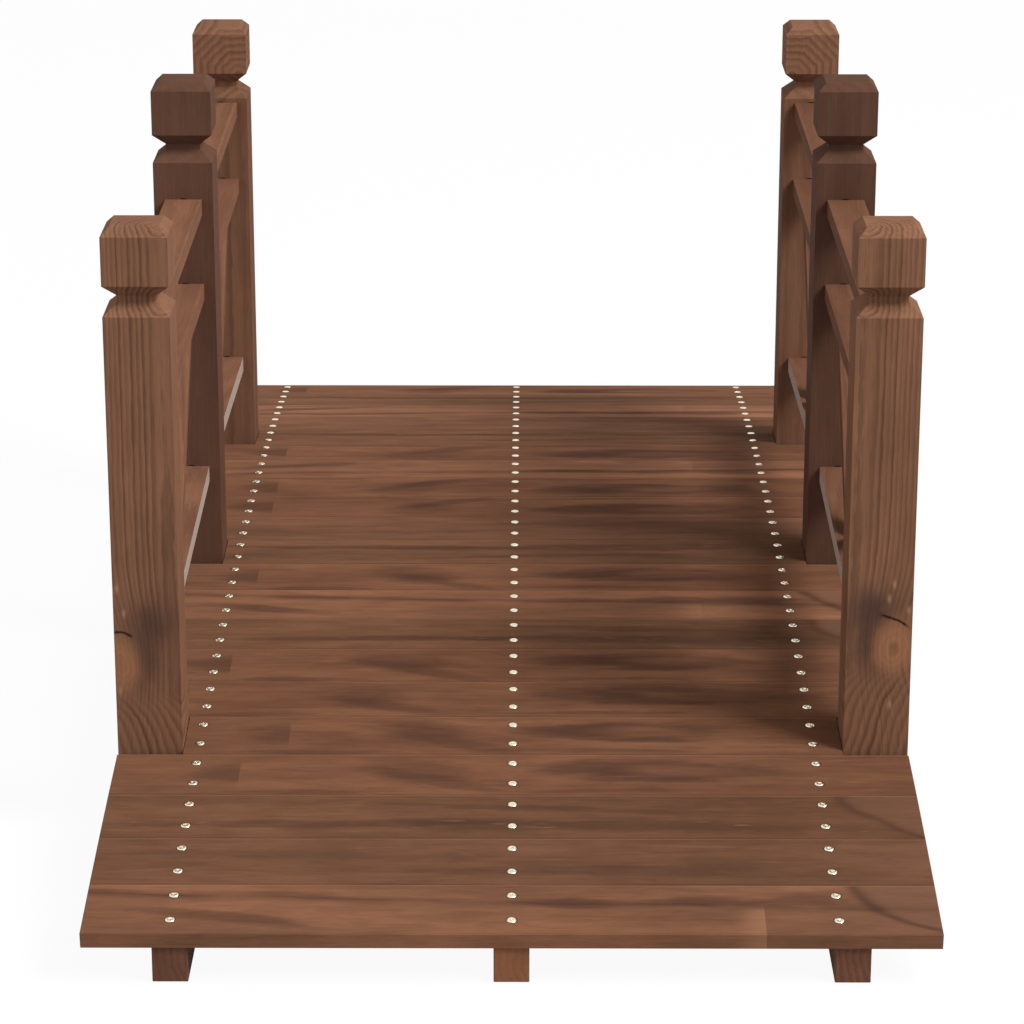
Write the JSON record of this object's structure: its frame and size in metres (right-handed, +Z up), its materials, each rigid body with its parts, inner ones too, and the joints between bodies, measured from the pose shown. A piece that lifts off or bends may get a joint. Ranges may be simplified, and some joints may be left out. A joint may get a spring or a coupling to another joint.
{
  "type": "wooden garden bridge",
  "caption": "Small arched garden bridge of stained softwood: a curved plank deck on stringers, with a railing of capped posts, flat rails and V braces along each side.",
  "frame": {"origin": "on the ground, under the middle of the deck", "axes": "+Y along the bridge from the near end to the far end, +X to the right of someone walking that way, +Z up"},
  "size_m": [0.67, 1.5, 0.561],
  "materials": {
    "deck_wood": "brown stained softwood, matt",
    "stringer_wood": "brown stained softwood, matt",
    "post_wood": "brown stained softwood, matt",
    "rail_wood": "brown stained softwood, matt",
    "screw_metal": "yellow zinc plate, satin"
  },
  "bodies": {
    "root": {"deck_board_01": "deck_wood", "deck_board_02": "deck_wood", "deck_board_03": "deck_wood", "deck_board_04": "deck_wood", "deck_board_05": "deck_wood", "deck_board_06": "deck_wood", "deck_board_07": "deck_wood", "deck_board_08": "deck_wood", "deck_board_09": "deck_wood", "deck_board_10": "deck_wood", "deck_board_11": "deck_wood", "deck_board_12": "deck_wood", "deck_board_13": "deck_wood", "deck_board_14": "deck_wood", "deck_board_15": "deck_wood", "deck_board_16": "deck_wood", "deck_board_17": "deck_wood", "deck_board_18": "deck_wood", "deck_board_19": "deck_wood", "deck_board_20": "deck_wood", "deck_board_21": "deck_wood", "left_stringer": "stringer_wood", "middle_stringer": "stringer_wood", "right_stringer": "stringer_wood", "left_near_post": "post_wood", "left_middle_post": "post_wood", "left_far_post": "post_wood", "right_near_post": "post_wood", "right_middle_post": "post_wood", "right_far_post": "post_wood", "left_near_top_rail": "rail_wood", "left_near_middle_rail": "rail_wood", "left_near_bottom_rail": "rail_wood", "left_far_top_rail": "rail_wood", "left_far_middle_rail": "rail_wood", "left_far_bottom_rail": "rail_wood", "right_near_top_rail": "rail_wood", "right_near_middle_rail": "rail_wood", "right_near_bottom_rail": "rail_wood", "right_far_top_rail": "rail_wood", "right_far_middle_rail": "rail_wood", "right_far_bottom_rail": "rail_wood", "left_braces": "rail_wood", "right_braces": "rail_wood"}
  },
  "joints": []
}
